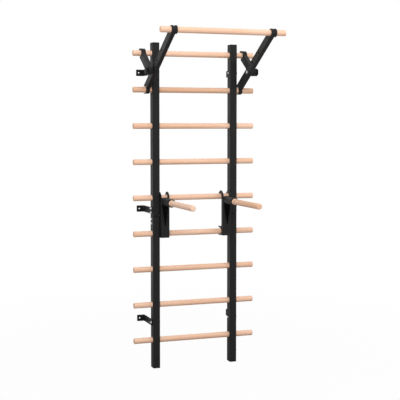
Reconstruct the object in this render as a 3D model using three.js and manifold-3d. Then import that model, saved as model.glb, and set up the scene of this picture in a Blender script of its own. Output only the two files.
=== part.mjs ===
// Swedish wall bars: two box-section steel posts on wall brackets, nine round beech rungs,
// a pull-up bar that hangs on the two top rungs, and two dip handles at mid height.
// Millimetres, Z up. X runs along the rungs, Y points into the wall. The origin is on the
// floor, in the plane of the wall, midway between the posts.
import * as THREE from 'three';
import { mergeVertices } from 'three/addons/utils/BufferGeometryUtils.js';
import { ConvexGeometry } from 'three/addons/geometries/ConvexGeometry.js';
import Module from 'manifold-3d';

const wasm = await Module();
wasm.setup();

// Clearances
const seat = 0.3;
const swing = 1;
const hookPlay = 0.4;
const sameCorner = 0.003;

// Rungs
const rungCount = 9;
const rungDiameter = 40;
const rungPastPost = 159;
const rungPitch = 253;
const rungChamfer = 3;
const lowestRung = 200;
const rungToWall = 190;

// Posts
const postWidth = 50;
const postDepth = 66;
const postWall = 2.5;
const postCorner = 5;
const postSpacing = 582;
const postAboveTopRung = 76;
const rungsBelowSeam = 4;
const sleeveToRung = 6.5;
const sleeveWall = 3;
const weldNutAcross = 14;
const weldNutHeight = 7;

// Post caps
const capThickness = 4;
const plugDepth = 18;

// Wall brackets
const bracketPastBoltHole = 8;
const bracketThickness = 5;
const bracketFlange = 56;
const bracketPastBolt = 12;
const bracketBend = 3;
const wallHole = 10;
const wallHoleFromWeb = 32;

// Frame bolts
const boltDiameter = 8;
const boltFlangeDiameter = 18;
const boltFlangeHeight = 2;
const hexAcross = 13;
const hexHeight = 5.5;
const nutHeight = 6.5;
const boltEnd = 3;
const seamBoltFirst = 23;
const seamBoltSpacing = 30;
const seamBoltPastNut = 1.2;

// Pull-up arms
const armWidth = 28;
const armDepth = 56;
const armCorner = 3;
const armSheet = 3;
const armAngle = 30.8;
const armReach = 697;
const armToBoltHead = 3.9;
const rungBelowArm = 18;
const barBelowArm = 8.5;
const clawLip = 6;
const clawPastRung = 20;
const clawFlare = 4;
const collarBand = 7.7;
const collarShoulder = 10;
const collarNotch = 12;
const adjustFirst = 215;
const adjustPitch = 120;
const adjustCount = 3;

// Pull-up bar
const barDiameter = 40;
const barInset = 12.5;

// Pull-up struts
const strutWidth = 32;
const rungAboveStrut = 9;
const hookBand = 11.6;
const hookNosePastHook = 14;
const hookNoseTop = 12;
const hookNoseDepth = 22;
const hookMouth = 24;
const hookMouthAngle = 30;

// Clamp bolts, spacers and knobs
const clampBolt = 10;
const clampHeadDiameter = 22;
const clampHeadHeight = 5;
const clampHeadCrown = 0.5;
const clampHeadEdge = 1.5;
const spacerDiameter = 30;
const spacerThickness = 2;
const knobDiameter = 58;
const knobLobes = 5;
const knobLobeDepth = 6;
const knobThickness = 13;
const knobBevel = 3;
const knobHubDiameter = 26;
const knobHubHeight = 4;
const knobTop = 6;

// Dip hangers
const dipToPost = 1.5;
const dipWidth = 63;
const dipSheet = 5;
const dipFold = 6;
const dipFront = 57;
const dipHookBand = 22.6;
const dipHookRadius = 50;
const dipLip = 9.6;
const dipFootRise = 4;
const dipProngPastRung = 22;
const dipProngFlare = 6;
const dipProngTip = 9;

// Dip sockets, gussets, bushes and handles
const socketWall = 3;
const bushWall = 5.4;
const socketDrop = 27;
const socketMouth = 200;
const bushFlange = 4;
const gussetSheet = 3;
const gussetReach = 70;
const gussetAboveRung = 51;
const handleDiameter = 40;
const handleEnd = 648;
const handleRound = 7;
const beadHeight = 2;
const beadLength = 8;

// Facets
const roundSides = 16;
const boltSides = 8;
const arcSteps = 5;
const knobLobeSteps = 6;
const cornerSteps = 1;

// Places that follow from the sizes above
const rungRadius = rungDiameter / 2;
const barRadius = barDiameter / 2;
const handleRadius = handleDiameter / 2;
const rungLength = postSpacing + 2 * rungPastPost;
const barLength = rungLength - 2 * barInset;
const sleeveLength = rungPitch - rungDiameter - 2 * sleeveToRung;
const bracketHeight = seamBoltSpacing + 2 * bracketPastBoltHole;
const seamBoltReach = postWall + seat + sleeveWall + weldNutHeight + seamBoltPastNut;
const boltHeadReach = seat + bracketThickness + seat + boltFlangeHeight + hexHeight;
const clawRadius = rungRadius + swing + clawLip;
const clawReach = rungRadius + clawPastRung;
const collarRadius = barRadius + seat + collarBand;
const hookRadius = rungRadius + hookPlay + hookBand;
const hookNoseReach = hookRadius + hookNosePastHook;
const knobBore = knobHubHeight + knobThickness - knobTop;
const dipHookRise = rungRadius + hookPlay + dipHookBand;
const dipProngReach = rungRadius + dipProngPastRung;
const socketRadius = handleRadius + seat + bushWall + seat + socketWall;
const gussetHeight = rungPitch - gussetAboveRung - socketDrop - socketRadius;
const postX = postSpacing / 2;
const postOuterX = postX + postWidth / 2;
const postInnerX = postX - postWidth / 2;
const postHeight = lowestRung + (rungCount - 1) * rungPitch + postAboveTopRung;
const seamHeight = lowestRung + (rungsBelowSeam - 0.5) * rungPitch;
const rungHeight = (number) => lowestRung + (number - 1) * rungPitch;
const hookRung = rungCount;
const clawRung = rungCount - 1;
const dipRung = rungsBelowSeam + 1;
const armX = postOuterX + boltHeadReach + armToBoltHead + armWidth / 2;
const strutX = armX + armWidth / 2 + seat + spacerThickness + seat + strutWidth / 2;
const dipX = postInnerX - dipToPost - dipWidth / 2;
const lowerBracketHeight = (rungHeight(1) + rungHeight(2)) / 2;
const upperBracketHeight = (rungHeight(clawRung) + rungHeight(hookRung)) / 2;
const middleBracketHeight = seamHeight + seamBoltFirst + seamBoltSpacing / 2;

const axisX = new THREE.Vector3(1, 0, 0);
const axisY = new THREE.Vector3(0, 1, 0);
const axisZ = new THREE.Vector3(0, 0, 1);

// Outline in the YZ plane, pushed along X.
const acrossX = new THREE.Matrix4().makeBasis(axisY, axisZ, axisX);
// Outline in the XZ plane, pushed along -Y.
const alongMinusY = new THREE.Matrix4().makeBasis(axisX, axisZ, axisY.clone().negate());

const blackSteel = { color: 0x2d2b2c, roughness: 0.5, metalness: 0.3 };
const blackPlastic = { color: 0x1c1c1d, roughness: 0.6, metalness: 0 };
const beech = { color: 0xe9c19d, roughness: 0.55, metalness: 0 };
const zinc = { color: 0xc6c8ca, roughness: 0.3, metalness: 1 };

const wallBars = new THREE.Group();

// Adds one named piece to a group.
function addPiece(group, name, geometry, finish) {
  const mesh = new THREE.Mesh(geometry, new THREE.MeshStandardMaterial(finish));
  mesh.name = name;
  group.add(mesh);
  return mesh;
}

// Solid from a closed geometry: shared corners are merged and flat triangles at poles dropped.
function solidOf(geometry) {
  const bare = geometry.clone();
  bare.deleteAttribute('normal');
  bare.deleteAttribute('uv');
  const merged = mergeVertices(bare);
  const corners = merged.index.array;
  const triangles = [];
  for (let i = 0; i < corners.length; i += 3) {
    const [a, b, c] = [corners[i], corners[i + 1], corners[i + 2]];
    if (a !== b && b !== c && c !== a) {
      triangles.push(a, b, c);
    }
  }
  return new wasm.Manifold(new wasm.Mesh({
    numProp: 3,
    vertProperties: new Float32Array(merged.attributes.position.array),
    triVerts: new Uint32Array(triangles),
  }));
}

function geometryOf(solid) {
  const mesh = solid.getMesh();
  const geometry = new THREE.BufferGeometry();
  geometry.setAttribute('position', new THREE.BufferAttribute(mesh.vertProperties, 3));
  geometry.setIndex(new THREE.BufferAttribute(mesh.triVerts, 1));
  geometry.computeVertexNormals();
  return geometry;
}

function joined(...geometries) {
  return geometries.map(solidOf).reduce((whole, next) => whole.add(next));
}

// Closed outline through a list of [x, y] corners.
function polygon(corners) {
  return new THREE.Shape(corners.map(([x, y]) => new THREE.Vector2(x, y)));
}

function roundedRectangle(width, height, corner) {
  const x = width / 2;
  const y = height / 2;
  const shape = new THREE.Shape();
  shape.absarc(x - corner, y - corner, corner, 0, Math.PI / 2);
  shape.absarc(corner - x, y - corner, corner, Math.PI / 2, Math.PI);
  shape.absarc(corner - x, corner - y, corner, Math.PI, Math.PI * 1.5);
  shape.absarc(x - corner, corner - y, corner, Math.PI * 1.5, Math.PI * 2);
  shape.closePath();
  return shape;
}

// Outline pushed along Z. Where two arcs meet, their shared end is kept once.
function pushed(shape, depth, steps = arcSteps) {
  const once = (points) => points.filter((point, i) => point.distanceTo(points.at(i - 1)) > sameCorner);
  const curves = shape.extractPoints(steps);
  const outline = new THREE.Shape(once(curves.shape));
  outline.holes = curves.holes.map((hole) => new THREE.Path(once(hole)));
  return new THREE.ExtrudeGeometry(outline, { depth, bevelEnabled: false });
}

// Plate with its outline in the YZ plane, centred on X = 0.
function plateAcrossX(shape, width) {
  return pushed(shape, width).applyMatrix4(acrossX).translate(-width / 2, 0, 0);
}

function rodAlongX(radius, length, sides = roundSides) {
  return new THREE.CylinderGeometry(radius, radius, length, sides).rotateZ(Math.PI / 2);
}

function rodAlongY(radius, length, sides = roundSides) {
  return new THREE.CylinderGeometry(radius, radius, length, sides);
}

// Turned piece from [radius, distance] corners: distance runs along +X.
function turnedAlongX(profile, sides = roundSides) {
  const points = profile.map(([radius, along]) => new THREE.Vector2(radius, along));
  return new THREE.LatheGeometry(points, sides).rotateZ(-Math.PI / 2);
}

// Turned piece from [radius, distance] corners: distance runs along -Y, away from the wall.
function turnedOutward(profile, sides = roundSides) {
  const points = profile.map(([radius, along]) => new THREE.Vector2(radius, along));
  return new THREE.LatheGeometry(points, sides).rotateX(Math.PI);
}

// Bore whose flats keep the given radius, so that a round piece clears it at any turn.
function boreAlongX(radius, length, sides = boltSides) {
  return rodAlongX(radius / Math.cos(Math.PI / sides), length, sides);
}

function hexAlongX(across, length) {
  return rodAlongX(across / Math.sqrt(3), length, 6);
}

// Corner of what lies inside a tube's wall.
function innerCorner(corner, wall) {
  return Math.max(corner - wall, wall / 2);
}

// Box tube standing on Z = 0, with its hollow.
function boxTube(width, depth, wall, corner, height) {
  const section = roundedRectangle(width, depth, corner);
  section.holes.push(roundedRectangle(width - 2 * wall, depth - 2 * wall, innerCorner(corner, wall)));
  return pushed(section, height, cornerSteps);
}

// Heights of the bolts on one side of the seam, counted from the seam.
const seamBoltOffsets = [seamBoltFirst, seamBoltFirst + seamBoltSpacing];

// Post half from one height to another, bored for its rungs and bolts. The bolt side is +X.
function postHalf(bottom, top) {
  const inside = (height) => height > bottom && height < top;
  let solid = solidOf(boxTube(postWidth, postDepth, postWall, postCorner, top - bottom));
  for (let number = 1; number <= rungCount; number += 1) {
    if (inside(rungHeight(number))) {
      const bore = rodAlongX(rungRadius + seat, postWidth * 1.5);
      solid = solid.subtract(solidOf(bore.translate(0, 0, rungHeight(number) - bottom)));
    }
  }
  for (const height of [lowerBracketHeight, upperBracketHeight].filter(inside)) {
    const bore = boreAlongX(boltDiameter / 2 + seat, postWidth * 1.5);
    solid = solid.subtract(solidOf(bore.translate(0, 0, height - bottom)));
  }
  for (const offset of seamBoltOffsets) {
    for (const height of [seamHeight - offset, seamHeight + offset].filter(inside)) {
      const bore = boreAlongX(boltDiameter / 2 + seat, postWidth / 2);
      solid = solid.subtract(solidOf(bore.translate(postWidth / 2, 0, height - bottom)));
    }
  }
  return geometryOf(solid);
}

// Inner sleeve across the seam, with weld nuts inside its bolt side, +X.
function joiningSleeve() {
  const width = postWidth - 2 * postWall - 2 * seat;
  const depth = postDepth - 2 * postWall - 2 * seat;
  const innerFace = width / 2 - sleeveWall;
  const tube = boxTube(width, depth, sleeveWall, innerCorner(postCorner, postWall), sleeveLength);
  let solid = solidOf(tube.translate(0, 0, -sleeveLength / 2));
  const heights = seamBoltOffsets.flatMap((offset) => [-offset, offset]);
  for (const height of heights) {
    const nutDepth = weldNutHeight + sleeveWall / 2;
    const nut = hexAlongX(weldNutAcross, nutDepth);
    solid = solid.add(solidOf(nut.translate(innerFace + sleeveWall / 2 - nutDepth / 2, 0, height)));
  }
  for (const height of heights) {
    const bore = boreAlongX(boltDiameter / 2 + seat, width / 2);
    solid = solid.subtract(solidOf(bore.translate(width / 2, 0, height)));
  }
  return geometryOf(solid);
}

// End cap: a plate with a plug below it that enters the post.
function postCap() {
  const plugWidth = postWidth - 2 * postWall - 2 * seat;
  const plugLength = postDepth - 2 * postWall - 2 * seat;
  const plate = pushed(roundedRectangle(postWidth, postDepth, postCorner), capThickness, cornerSteps);
  const plugSection = roundedRectangle(plugWidth, plugLength, innerCorner(postCorner, postWall));
  const plug = pushed(plugSection, plugDepth + capThickness / 2, cornerSteps);
  return geometryOf(joined(plate, plug.translate(0, 0, -plugDepth)));
}

function rung(diameter, length) {
  const radius = diameter / 2;
  return turnedAlongX([
    [0, -length / 2],
    [radius - rungChamfer, -length / 2],
    [radius, rungChamfer - length / 2],
    [radius, length / 2 - rungChamfer],
    [radius - rungChamfer, length / 2],
    [0, length / 2],
  ]);
}

// Bent strip: the web lies on the post's outer side, the flange on the wall. It is drawn for the
// side +1 or -1, from the post's outer face, and bored for its bolts and its wall screw.
function wallBracket(side, boltHeights) {
  const outside = bracketThickness + bracketBend;
  const near = seat;
  const far = seat + bracketThickness;
  const end = rungToWall + bracketPastBolt;
  const profile = new THREE.Shape();
  profile.moveTo(side * near, -end);
  profile.lineTo(side * far, -end);
  profile.lineTo(side * far, -outside);
  const bendX = side * (near + outside);
  const inwards = side > 0 ? Math.PI : 0;
  profile.absarc(bendX, -outside, bracketBend, inwards, Math.PI / 2, side > 0);
  profile.lineTo(side * (near + bracketFlange), -bracketThickness);
  profile.lineTo(side * (near + bracketFlange), 0);
  profile.lineTo(bendX, 0);
  profile.absarc(bendX, -outside, outside, Math.PI / 2, inwards, side < 0);
  profile.closePath();
  let solid = solidOf(pushed(profile, bracketHeight, cornerSteps).translate(0, 0, -bracketHeight / 2));
  for (const height of boltHeights) {
    const bore = boreAlongX(boltDiameter / 2 + seat, bracketThickness * 4);
    solid = solid.subtract(solidOf(bore.translate(side * far, -rungToWall, height)));
  }
  const screwBore = rodAlongY(wallHole / 2, bracketThickness * 4, boltSides);
  solid = solid.subtract(solidOf(screwBore.translate(side * (far + wallHoleFromWeb), 0, 0)));
  return geometryOf(solid);
}

// Flanged hex bolt along -X, with the underside of its head at X = 0. A nut sits at the given grip.
function frameBolt(shankLength, nutAt) {
  const shank = turnedAlongX([
    [0, -shankLength],
    [boltDiameter / 2, -shankLength],
    [boltDiameter / 2, 0],
    [boltFlangeDiameter / 2, 0],
    [boltFlangeDiameter / 2, boltFlangeHeight / 2],
    [hexAcross / 2, boltFlangeHeight],
    [0, boltFlangeHeight],
  ], boltSides);
  const headStart = boltFlangeHeight / 2;
  const headEnd = boltFlangeHeight + hexHeight;
  const head = hexAlongX(hexAcross, headEnd - headStart);
  const pieces = [shank, head.translate((headStart + headEnd) / 2, 0, 0)];
  if (nutAt) {
    pieces.push(hexAlongX(hexAcross, nutHeight).translate(-nutAt - nutHeight / 2, 0, 0));
  }
  return geometryOf(joined(...pieces));
}

// Box arm in its own frame: the arm runs along -Y from its foot at the claw rung, and its middle
// line is Z = 0. The claw and the collar bulge round the rung and the bar.
function pullUpArm() {
  const tilt = THREE.MathUtils.degToRad(armAngle);
  const mouth = rungRadius + swing;
  const shoulder = armReach - collarShoulder;
  const tail = clawReach + armDepth;
  const skin = (width, inset) => {
    const section = roundedRectangle(width, armDepth - 2 * inset, innerCorner(armCorner, inset));
    const tube = pushed(section, shoulder + tail, cornerSteps).applyMatrix4(alongMinusY).translate(0, tail, 0);
    const claw = rodAlongX(clawRadius - inset, width).translate(0, 0, -rungBelowArm);
    const collar = rodAlongX(collarRadius - inset, width).translate(0, -armReach, -barBelowArm);
    return joined(tube, claw, collar);
  };
  // The end is trimmed upright at the claw's reach, and level at the underside of its lip.
  const beyond = polygon([
    [clawReach, -2 * armReach],
    [clawReach + 2 * tail, -2 * armReach],
    [clawReach + 2 * tail, 2 * armReach],
    [clawReach, 2 * armReach],
  ]);
  const below = polygon([
    [0, -clawRadius],
    [0, -clawRadius - 2 * tail],
    [2 * tail, -clawRadius - 2 * tail],
    [2 * tail, -clawRadius],
  ]);
  const slot = polygon([
    [0, -mouth],
    [clawReach * 2, -mouth],
    [clawReach * 2, mouth + clawFlare * 2],
    [0, mouth],
  ]);
  const inRungFrame = (shape) => {
    const plate = plateAcrossX(shape, armWidth * 2).rotateX(tilt);
    return solidOf(plate.translate(0, 0, -rungBelowArm));
  };
  let solid = skin(armWidth, 0);
  const lip = polygon([
    [0, -clawRadius],
    [clawReach, -clawRadius],
    [clawReach, -mouth],
    [0, -mouth],
  ]);
  solid = solid.subtract(skin(armWidth - 2 * armSheet, armSheet));
  solid = solid.subtract(inRungFrame(beyond));
  solid = solid.subtract(inRungFrame(below));
  const lipPlate = plateAcrossX(lip, armWidth).rotateX(tilt).translate(0, 0, -rungBelowArm);
  solid = solid.add(solidOf(lipPlate));
  solid = solid.subtract(inRungFrame(slot));
  const rungBore = boreAlongX(mouth, armWidth * 2, roundSides);
  solid = solid.subtract(solidOf(rungBore.translate(0, 0, -rungBelowArm)));
  const barBore = boreAlongX(barRadius + seat, armWidth * 2, roundSides);
  solid = solid.subtract(solidOf(barBore.translate(0, -armReach, -barBelowArm)));
  const notch = new THREE.BoxGeometry(collarNotch, collarRadius, armDepth);
  solid = solid.subtract(solidOf(notch.translate(0, -armReach, armDepth / 2 + barRadius - barBelowArm)));
  for (let hole = 0; hole < adjustCount; hole += 1) {
    const bore = boreAlongX(clampBolt / 2 + seat, armWidth * 2);
    solid = solid.subtract(solidOf(bore.translate(0, -adjustFirst - hole * adjustPitch, 0)));
  }
  return geometryOf(solid);
}

// Box strut in its own frame: the hook is round the rung at the origin, and the strut runs along -Y
// to the clamp bolt. The nose is the end of the tube behind the rung, and the mouth faces the wall.
function pullUpStrut(length, tilt) {
  const skin = (width, inset) => {
    const section = roundedRectangle(width, armDepth - 2 * inset, innerCorner(armCorner, inset));
    const tube = pushed(section, length, cornerSteps).applyMatrix4(alongMinusY).translate(0, 0, -rungAboveStrut);
    const hook = rodAlongX(hookRadius - inset, width);
    const foot = rodAlongX(armDepth / 2 - inset, width).translate(0, -length, -rungAboveStrut);
    const nose = polygon([
      [0, hookNoseTop - inset],
      [0, hookNoseTop - hookNoseDepth + inset],
      [hookNoseReach - inset, hookNoseTop - hookNoseDepth + inset],
      [hookNoseReach - inset, hookNoseTop - inset],
    ]);
    return joined(tube, hook, foot, plateAcrossX(nose, width));
  };
  let solid = skin(strutWidth, 0).subtract(skin(strutWidth - 2 * armSheet, armSheet));
  solid = solid.subtract(solidOf(boreAlongX(rungRadius + hookPlay, strutWidth * 2, roundSides)));
  const mouth = new THREE.BoxGeometry(strutWidth * 2, hookRadius * 2, hookMouth);
  mouth.translate(0, hookRadius, 0).rotateX(-THREE.MathUtils.degToRad(hookMouthAngle) - tilt);
  solid = solid.subtract(solidOf(mouth));
  const bore = boreAlongX(clampBolt / 2 + seat, strutWidth * 2);
  solid = solid.subtract(solidOf(bore.translate(0, -length, -rungAboveStrut)));
  return geometryOf(solid);
}

// Round-headed clamp bolt along +X, with the underside of its head at X = 0.
function clampBoltPiece(length) {
  return turnedAlongX([
    [0, -clampHeadHeight],
    [clampHeadDiameter / 4, clampHeadCrown - clampHeadHeight],
    [clampHeadDiameter / 2, -clampHeadEdge],
    [clampHeadDiameter / 2, 0],
    [clampBolt / 2, 0],
    [clampBolt / 2, length],
    [0, length],
  ], boltSides);
}

function spacerWasher() {
  const disc = rodAlongX(spacerDiameter / 2, spacerThickness);
  const bore = boreAlongX(clampBolt / 2 + seat, spacerThickness * 2);
  return geometryOf(solidOf(disc).subtract(solidOf(bore)).translate(spacerThickness / 2, 0, 0));
}

// Star knob along +X: a round hub below a lobed head, with a blind bore for the bolt's end.
function starKnob() {
  const outline = new THREE.Shape();
  const steps = knobLobes * knobLobeSteps;
  const rim = knobDiameter / 2 - knobBevel;
  for (let i = 0; i < steps; i += 1) {
    const angle = (i / steps) * Math.PI * 2;
    const radius = rim - knobLobeDepth * (0.5 - 0.5 * Math.cos(knobLobes * angle));
    const corner = [radius * Math.cos(angle), radius * Math.sin(angle)];
    if (i === 0) {
      outline.moveTo(...corner);
    } else {
      outline.lineTo(...corner);
    }
  }
  outline.closePath();
  const head = new THREE.ExtrudeGeometry(outline, {
    depth: knobThickness - 2 * knobBevel,
    bevelThickness: knobBevel,
    bevelSize: knobBevel,
    bevelSegments: 1,
  }).applyMatrix4(acrossX);
  const hub = rodAlongX(knobHubDiameter / 2, knobHubHeight + knobThickness / 2);
  const bore = boreAlongX(clampBolt / 2 + seat, 2 * knobBore);
  const solid = joined(
    head.translate(knobHubHeight + knobBevel, 0, 0),
    hub.translate((knobHubHeight + knobThickness / 2) / 2, 0, 0),
  );
  return geometryOf(solid.subtract(solidOf(bore)));
}

// Side of a dip hanger, drawn from the axis of the upper rung: a hook over that rung, and a claw
// with a flared upper prong that closes on the rung below from the front.
function dipSideOutline() {
  const grip = rungRadius + hookPlay;
  const mouth = rungRadius + swing;
  const hookY = dipHookRadius - dipFront;
  const hookZ = dipHookRise - dipHookRadius;
  const tip = (hookY + dipHookRadius - grip) / 2;
  const lip = dipLip / 2;
  const clawY = swing - seat;
  const prongTop = -rungPitch + mouth + dipProngFlare + dipProngTip;
  const prong = dipProngTip / 2;
  const side = new THREE.Shape();
  side.moveTo(-dipFront, -rungPitch - mouth - dipLip + dipFootRise);
  side.lineTo(dipProngReach - lip, -rungPitch - mouth - dipLip);
  side.absarc(dipProngReach - lip, -rungPitch - mouth - lip, lip, -Math.PI / 2, Math.PI / 2);
  side.absarc(clawY, -rungPitch, mouth, -Math.PI / 2, Math.PI / 2, true);
  side.absarc(dipProngReach - prong, prongTop - prong, prong, -Math.PI / 2, Math.PI / 2);
  side.lineTo(0, prongTop);
  side.quadraticCurveTo(-grip, prongTop, -grip, prongTop + grip);
  side.absarc(0, 0, grip, Math.PI, 0, true);
  side.absarc(grip + tip, hookZ, tip, Math.PI, Math.PI * 2);
  side.absarc(hookY, hookZ, dipHookRadius, 0, Math.PI);
  side.closePath();
  return side;
}

// Folded hanger: a front plate between two hooked sides, with rounded folds.
function dipHanger() {
  const outline = dipSideOutline();
  const offset = dipWidth / 2 - dipSheet / 2;
  const bottom = -rungPitch - rungRadius - swing - dipLip + dipFootRise;
  const top = socketRadius - socketDrop;
  const front = new THREE.BoxGeometry(dipWidth, dipSheet, top - bottom);
  const plates = joined(
    front.translate(0, dipSheet / 2 - dipFront, (top + bottom) / 2),
    plateAcrossX(outline, dipSheet).translate(offset, 0, 0),
    plateAcrossX(outline, dipSheet).translate(-offset, 0, 0),
  );
  const back = 2 * dipFront;
  const plan = new THREE.Shape();
  plan.moveTo(dipWidth / 2, back);
  plan.lineTo(-dipWidth / 2, back);
  plan.absarc(dipFold - dipWidth / 2, dipFold - dipFront, dipFold, Math.PI, Math.PI * 1.5);
  plan.absarc(dipWidth / 2 - dipFold, dipFold - dipFront, dipFold, Math.PI * 1.5, Math.PI * 2);
  plan.closePath();
  const reach = 2 * rungPitch;
  const folds = pushed(plan, 2 * reach, cornerSteps).translate(0, 0, -reach);
  return geometryOf(plates.intersect(solidOf(folds)));
}

function dipSocket() {
  const inner = socketRadius - socketWall;
  const start = dipFront + seat;
  const end = socketMouth - bushFlange - seat;
  return turnedOutward([
    [inner, start],
    [socketRadius, start],
    [socketRadius, end],
    [inner, end],
    [inner, start],
  ]);
}

function dipBush() {
  const inner = handleRadius + seat;
  const outer = socketRadius - socketWall - seat;
  const start = dipFront + seat;
  return turnedOutward([
    [inner, start],
    [outer, start],
    [outer, socketMouth - bushFlange],
    [socketRadius, socketMouth - bushFlange],
    [socketRadius, socketMouth],
    [inner, socketMouth],
    [inner, start],
  ]);
}

function dipHandle() {
  const bead = handleRadius + beadHeight;
  const beadStart = socketMouth + seat;
  const beadEnd = beadStart + beadLength;
  const round = (angle) => [
    handleRadius - handleRound * (1 - Math.cos(angle)),
    handleEnd - handleRound * (1 - Math.sin(angle)),
  ];
  return turnedOutward([
    [0, dipFront + seat],
    [handleRadius, dipFront + seat],
    [handleRadius, beadStart],
    [bead, beadStart],
    [bead, beadEnd - beadHeight],
    [handleRadius, beadEnd],
    round(0),
    round(Math.PI / 4),
    round(Math.PI / 2),
    [0, handleEnd],
  ]);
}

// Folded gusset: two sloping sides that meet in a ridge, from a point on the hanger's front
// plate up to the underside of the socket.
function dipGusset() {
  const wedge = (halfWidth, back, reach, bottom, top) => new ConvexGeometry([
    new THREE.Vector3(0, back, bottom),
    new THREE.Vector3(-halfWidth, back, top),
    new THREE.Vector3(halfWidth, back, top),
    new THREE.Vector3(0, back - reach, top),
  ]);
  const back = -dipFront - seat;
  const top = -socketDrop;
  const bottom = top - socketRadius - gussetHeight;
  const scale = 1 - gussetSheet / (socketRadius / 2);
  const lift = gussetSheet * (top - bottom) / socketRadius;
  const shell = solidOf(wedge(socketRadius, back, gussetReach, bottom, top)).subtract(solidOf(
    wedge(socketRadius * scale, back + seat, gussetReach * scale, bottom + lift, top + seat),
  ));
  const socket = rodAlongY(socketRadius + seat, 4 * gussetReach).translate(0, back, -socketDrop);
  return geometryOf(shell.subtract(solidOf(socket)));
}

// Frame: post halves, sleeves, caps, rungs, brackets and bolts
const frame = new THREE.Group();
frame.position.y = -rungToWall;
wallBars.add(frame);

for (const [label, side] of [['left', -1], ['right', 1]]) {
  const turn = side > 0 ? 0 : Math.PI;
  const post = new THREE.Group();
  post.position.x = side * postX;
  post.rotation.z = turn;
  frame.add(post);

  const lowerStart = capThickness + seat;
  const upperStart = seamHeight + seat / 2;
  const lower = postHalf(lowerStart, seamHeight - seat / 2);
  const upper = postHalf(upperStart, postHeight - capThickness - seat);
  addPiece(post, `post_lower_${label}`, lower, blackSteel).position.z = lowerStart;
  addPiece(post, `post_upper_${label}`, upper, blackSteel).position.z = upperStart;
  addPiece(post, `joining_sleeve_${label}`, joiningSleeve(), blackSteel).position.z = seamHeight;
  addPiece(post, `top_cap_${label}`, postCap(), blackPlastic).position.z = postHeight - capThickness;
  const foot = addPiece(post, `foot_cap_${label}`, postCap(), blackPlastic);
  foot.rotation.x = Math.PI;
  foot.position.z = capThickness;

  const webFace = postWidth / 2 + seat + bracketThickness + seat;
  const throughNut = webFace + postWidth / 2 + seat;
  const levels = [
    ['lower', lowerBracketHeight, [0], true],
    ['middle', middleBracketHeight, [-seamBoltSpacing / 2, seamBoltSpacing / 2], false],
    ['upper', upperBracketHeight, [0], true],
  ];
  for (const [level, height, boltHeights, through] of levels) {
    const bracket = addPiece(frame, `wall_bracket_${level}_${label}`, wallBracket(side, boltHeights), blackSteel);
    bracket.position.set(side * postOuterX, rungToWall, height);
    if (through) {
      const bolt = frameBolt(throughNut + nutHeight + boltEnd, throughNut);
      addPiece(post, `bracket_bolt_${level}_${label}`, bolt, zinc).position.set(webFace, 0, height);
    }
  }
  const heights = seamBoltOffsets.flatMap((offset) => [seamHeight + offset, seamHeight - offset]);
  heights.sort((a, b) => b - a);
  heights.forEach((height, index) => {
    const under = height > seamHeight ? webFace : postWidth / 2 + seat;
    const bolt = frameBolt(under - postWidth / 2 + seamBoltReach);
    addPiece(post, `seam_bolt_${index + 1}_${label}`, bolt, zinc).position.set(under, 0, height);
  });
}

for (let number = 1; number <= rungCount; number += 1) {
  addPiece(frame, `rung_${number}`, rung(rungDiameter, rungLength), beech).position.z = rungHeight(number);
}

// Pull-up unit: the arms stand on the claw rung, the struts hook over the rung above
const tilt = THREE.MathUtils.degToRad(armAngle);
const armDirection = new THREE.Vector2(-Math.cos(tilt), Math.sin(tilt));
const armNormal = new THREE.Vector2(Math.sin(tilt), Math.cos(tilt));
const armFoot = armNormal.clone().multiplyScalar(rungBelowArm);
const onArm = (along, above) => armFoot.clone()
  .addScaledVector(armDirection, along).addScaledVector(armNormal, above);
const clampPoint = onArm(adjustFirst, 0);
const barPoint = onArm(armReach, -barBelowArm);
const strutSpan = new THREE.Vector2(0, rungPitch).sub(clampPoint);
const strutLength = Math.sqrt(strutSpan.lengthSq() - rungAboveStrut ** 2);
const strutTilt = strutSpan.angle() - Math.atan2(rungAboveStrut, strutLength);

const pullUp = new THREE.Group();
pullUp.position.set(0, -rungToWall, rungHeight(clawRung));
wallBars.add(pullUp);
const bar = addPiece(pullUp, 'pull_up_bar', rung(barDiameter, barLength), beech);
bar.position.set(0, barPoint.x, barPoint.y);

for (const [label, side] of [['left', -1], ['right', 1]]) {
  const arm = addPiece(pullUp, `pull_up_arm_${label}`, pullUpArm(), blackSteel);
  arm.position.set(side * armX, armFoot.x, armFoot.y);
  arm.rotation.x = -tilt;

  const strut = addPiece(pullUp, `pull_up_strut_${label}`, pullUpStrut(strutLength, strutTilt), blackSteel);
  strut.position.set(side * strutX, 0, rungPitch);
  strut.rotation.x = strutTilt;

  const clamp = new THREE.Group();
  clamp.position.set(0, clampPoint.x, clampPoint.y);
  clamp.rotation.z = side > 0 ? 0 : Math.PI;
  pullUp.add(clamp);
  const head = armX - armWidth / 2 - seat;
  const knobFace = strutX + strutWidth / 2 + seat;
  const boltLength = knobFace - head + knobBore - swing;
  addPiece(clamp, `clamp_bolt_${label}`, clampBoltPiece(boltLength), zinc).position.x = head;
  const spacer = addPiece(clamp, `spacer_washer_${label}`, spacerWasher(), blackPlastic);
  spacer.position.x = armX + armWidth / 2 + seat;
  addPiece(clamp, `star_knob_${label}`, starKnob(), blackPlastic).position.x = knobFace;
}

// Dip units: hung over one rung and braced on the rung below
for (const [label, side] of [['left', -1], ['right', 1]]) {
  const dip = new THREE.Group();
  dip.position.set(side * dipX, -rungToWall, rungHeight(dipRung));
  wallBars.add(dip);
  addPiece(dip, `dip_hanger_${label}`, dipHanger(), blackSteel);
  addPiece(dip, `dip_socket_${label}`, dipSocket(), blackSteel).position.z = -socketDrop;
  addPiece(dip, `dip_bush_${label}`, dipBush(), blackPlastic).position.z = -socketDrop;
  addPiece(dip, `dip_handle_${label}`, dipHandle(), beech).position.z = -socketDrop;
  addPiece(dip, `dip_gusset_${label}`, dipGusset(), blackSteel);
}

export default wallBars;
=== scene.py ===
import math

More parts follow.
